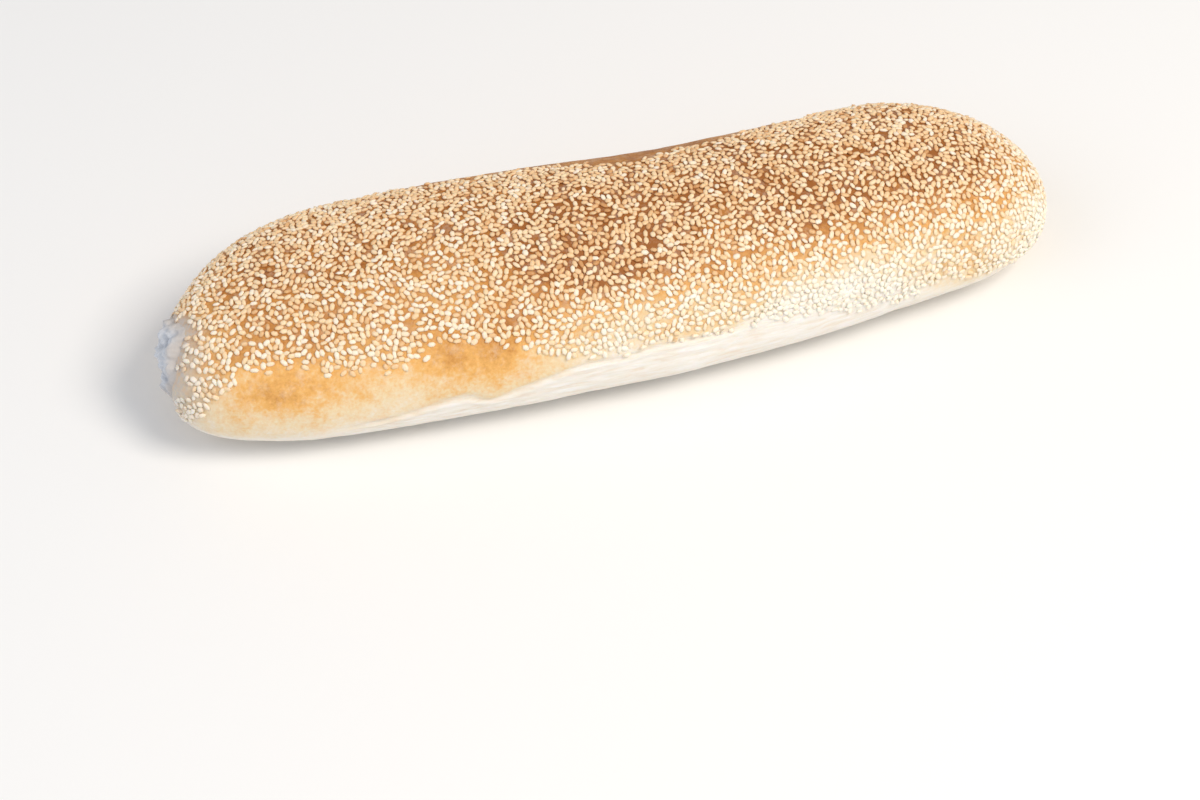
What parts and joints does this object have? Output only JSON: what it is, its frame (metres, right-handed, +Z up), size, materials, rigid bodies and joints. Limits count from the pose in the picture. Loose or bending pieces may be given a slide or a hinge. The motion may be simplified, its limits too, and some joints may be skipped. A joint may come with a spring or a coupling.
{
  "type": "sesame baguette",
  "caption": "Long, plump white-bread loaf with rounded ends, a flat underside, a golden crust thickly strewn with sesame seeds and a torn pale spot on one tip",
  "frame": {"origin": "on the surface that the loaf rests on, under the middle of its bounding box", "axes": "+X along the loaf, from the torn tip to the plain one; -Y the front with the pale lower side; +Z up"},
  "size_m": [0.3634, 0.1068, 0.0646],
  "materials": {
    "crust": "baked white-bread crust, golden to orange-brown on top and pale along the lower front side, strewn with cream sesame seeds; satin to matte"
  },
  "bodies": {
    "root": {"loaf": "crust"}
  },
  "joints": []
}
